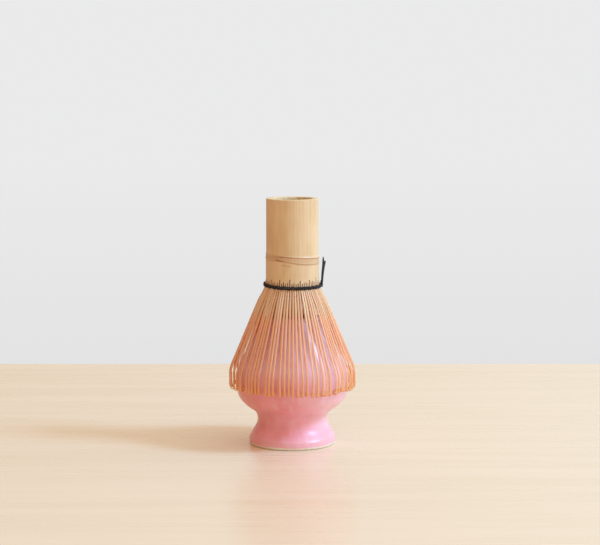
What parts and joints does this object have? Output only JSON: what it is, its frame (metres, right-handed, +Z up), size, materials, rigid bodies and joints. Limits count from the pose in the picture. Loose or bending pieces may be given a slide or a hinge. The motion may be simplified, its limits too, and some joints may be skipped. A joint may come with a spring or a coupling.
{
  "type": "bamboo tea whisk on a ceramic holder",
  "caption": "Bamboo tea whisk with a ring of curled outer tines and a ring of inner tines, standing tines-down on a domed pink ceramic holder.",
  "frame": {"origin": "centre of the holder's foot, on the surface it stands on", "axes": "+Z up along the whisk and the holder, towards the cut end of the handle; +X towards the thread's knot; the usual front faces -Y"},
  "size_m": [0.0681, 0.0682, 0.1325],
  "materials": {
    "pink_glaze": "gloss",
    "bamboo_culm": "satin",
    "bamboo_inside": "matte",
    "bamboo_tine": "satin",
    "black_thread": "matte"
  },
  "bodies": {
    "holder": {"holder_body": "pink_glaze"},
    "whisk": {"handle_culm": "bamboo_culm", "node_diaphragm": "bamboo_inside", "thread_row_upper": "black_thread", "thread_row_lower": "black_thread", "thread_row_inner": "black_thread", "thread_knot": "black_thread", "thread_end_long": "black_thread", "thread_end_short": "black_thread", "inner_tines_01": "bamboo_tine", "inner_tines_02": "bamboo_tine", "inner_tines_03": "bamboo_tine", "inner_tines_04": "bamboo_tine", "inner_tines_05": "bamboo_tine", "inner_tines_06": "bamboo_tine", "inner_tines_07": "bamboo_tine", "inner_tines_08": "bamboo_tine", "inner_tines_09": "bamboo_tine", "inner_tines_10": "bamboo_tine", "inner_tines_11": "bamboo_tine", "inner_tines_12": "bamboo_tine", "inner_tines_13": "bamboo_tine", "inner_tines_14": "bamboo_tine", "inner_tines_15": "bamboo_tine", "inner_tines_16": "bamboo_tine"},
    "outer_split_01": {"outer_tines_01": "bamboo_tine"},
    "outer_split_02": {"outer_tines_02": "bamboo_tine"},
    "outer_split_03": {"outer_tines_03": "bamboo_tine"},
    "outer_split_04": {"outer_tines_04": "bamboo_tine"},
    "outer_split_05": {"outer_tines_05": "bamboo_tine"},
    "outer_split_06": {"outer_tines_06": "bamboo_tine"},
    "outer_split_07": {"outer_tines_07": "bamboo_tine"},
    "outer_split_08": {"outer_tines_08": "bamboo_tine"},
    "outer_split_09": {"outer_tines_09": "bamboo_tine"},
    "outer_split_10": {"outer_tines_10": "bamboo_tine"},
    "outer_split_11": {"outer_tines_11": "bamboo_tine"},
    "outer_split_12": {"outer_tines_12": "bamboo_tine"},
    "outer_split_13": {"outer_tines_13": "bamboo_tine"},
    "outer_split_14": {"outer_tines_14": "bamboo_tine"},
    "outer_split_15": {"outer_tines_15": "bamboo_tine"},
    "outer_split_16": {"outer_tines_16": "bamboo_tine"}
  },
  "joints": [
    {"name": "whisk_lift", "type": "slide", "parent": "holder", "child": "whisk", "axis": [0, 0, 1], "range_m": [0, 0.06]},
    {"name": "tine_flex_01", "type": "hinge", "parent": "whisk", "child": "outer_split_01", "pos_m": [-0.00421, -0.01398, 0.0848], "axis": [-0.9576, 0.2882, 0], "range_deg": [0, 4], "stiffness_Nm_per_rad": 0.004},
    {"name": "tine_flex_02", "type": "hinge", "parent": "whisk", "child": "outer_split_02", "pos_m": [0.00146, -0.01453, 0.0848], "axis": [-0.995, -0.1002, 0], "range_deg": [0, 4], "stiffness_Nm_per_rad": 0.004},
    {"name": "tine_flex_03", "type": "hinge", "parent": "whisk", "child": "outer_split_03", "pos_m": [0.00691, -0.01286, 0.0848], "axis": [-0.8809, -0.4733, 0], "range_deg": [0, 4], "stiffness_Nm_per_rad": 0.004},
    {"name": "tine_flex_04", "type": "hinge", "parent": "whisk", "child": "outer_split_04", "pos_m": [0.01131, -0.00924, 0.0848], "axis": [-0.6327, -0.7744, 0], "range_deg": [0, 4], "stiffness_Nm_per_rad": 0.004},
    {"name": "tine_flex_05", "type": "hinge", "parent": "whisk", "child": "outer_split_05", "pos_m": [0.01398, -0.00421, 0.0848], "axis": [-0.2882, -0.9576, 0], "range_deg": [0, 4], "stiffness_Nm_per_rad": 0.004},
    {"name": "tine_flex_06", "type": "hinge", "parent": "whisk", "child": "outer_split_06", "pos_m": [0.01453, 0.00146, 0.0848], "axis": [0.1002, -0.995, 0], "range_deg": [0, 4], "stiffness_Nm_per_rad": 0.004},
    {"name": "tine_flex_07", "type": "hinge", "parent": "whisk", "child": "outer_split_07", "pos_m": [0.01286, 0.00691, 0.0848], "axis": [0.4733, -0.8809, 0], "range_deg": [0, 4], "stiffness_Nm_per_rad": 0.004},
    {"name": "tine_flex_08", "type": "hinge", "parent": "whisk", "child": "outer_split_08", "pos_m": [0.00924, 0.01131, 0.0848], "axis": [0.7744, -0.6327, 0], "range_deg": [0, 4], "stiffness_Nm_per_rad": 0.004},
    {"name": "tine_flex_09", "type": "hinge", "parent": "whisk", "child": "outer_split_09", "pos_m": [0.00421, 0.01398, 0.0848], "axis": [0.9576, -0.2882, 0], "range_deg": [0, 4], "stiffness_Nm_per_rad": 0.004},
    {"name": "tine_flex_10", "type": "hinge", "parent": "whisk", "child": "outer_split_10", "pos_m": [-0.00146, 0.01453, 0.0848], "axis": [0.995, 0.1002, 0], "range_deg": [0, 4], "stiffness_Nm_per_rad": 0.004},
    {"name": "tine_flex_11", "type": "hinge", "parent": "whisk", "child": "outer_split_11", "pos_m": [-0.00691, 0.01286, 0.0848], "axis": [0.8809, 0.4733, 0], "range_deg": [0, 4], "stiffness_Nm_per_rad": 0.004},
    {"name": "tine_flex_12", "type": "hinge", "parent": "whisk", "child": "outer_split_12", "pos_m": [-0.01131, 0.00924, 0.0848], "axis": [0.6327, 0.7744, 0], "range_deg": [0, 4], "stiffness_Nm_per_rad": 0.004},
    {"name": "tine_flex_13", "type": "hinge", "parent": "whisk", "child": "outer_split_13", "pos_m": [-0.01398, 0.00421, 0.0848], "axis": [0.2882, 0.9576, 0], "range_deg": [0, 4], "stiffness_Nm_per_rad": 0.004},
    {"name": "tine_flex_14", "type": "hinge", "parent": "whisk", "child": "outer_split_14", "pos_m": [-0.01453, -0.00146, 0.0848], "axis": [-0.1002, 0.995, 0], "range_deg": [0, 4], "stiffness_Nm_per_rad": 0.004},
    {"name": "tine_flex_15", "type": "hinge", "parent": "whisk", "child": "outer_split_15", "pos_m": [-0.01286, -0.00691, 0.0848], "axis": [-0.4733, 0.8809, 0], "range_deg": [0, 4], "stiffness_Nm_per_rad": 0.004},
    {"name": "tine_flex_16", "type": "hinge", "parent": "whisk", "child": "outer_split_16", "pos_m": [-0.00924, -0.01131, 0.0848], "axis": [-0.7744, 0.6327, 0], "range_deg": [0, 4], "stiffness_Nm_per_rad": 0.004}
  ],
  "couplings": [
    {"joint": "tine_flex_02", "follows": "tine_flex_01", "ratio": 1},
    {"joint": "tine_flex_03", "follows": "tine_flex_01", "ratio": 1},
    {"joint": "tine_flex_04", "follows": "tine_flex_01", "ratio": 1},
    {"joint": "tine_flex_05", "follows": "tine_flex_01", "ratio": 1},
    {"joint": "tine_flex_06", "follows": "tine_flex_01", "ratio": 1},
    {"joint": "tine_flex_07", "follows": "tine_flex_01", "ratio": 1},
    {"joint": "tine_flex_08", "follows": "tine_flex_01", "ratio": 1},
    {"joint": "tine_flex_09", "follows": "tine_flex_01", "ratio": 1},
    {"joint": "tine_flex_10", "follows": "tine_flex_01", "ratio": 1},
    {"joint": "tine_flex_11", "follows": "tine_flex_01", "ratio": 1},
    {"joint": "tine_flex_12", "follows": "tine_flex_01", "ratio": 1},
    {"joint": "tine_flex_13", "follows": "tine_flex_01", "ratio": 1},
    {"joint": "tine_flex_14", "follows": "tine_flex_01", "ratio": 1},
    {"joint": "tine_flex_15", "follows": "tine_flex_01", "ratio": 1},
    {"joint": "tine_flex_16", "follows": "tine_flex_01", "ratio": 1}
  ]
}
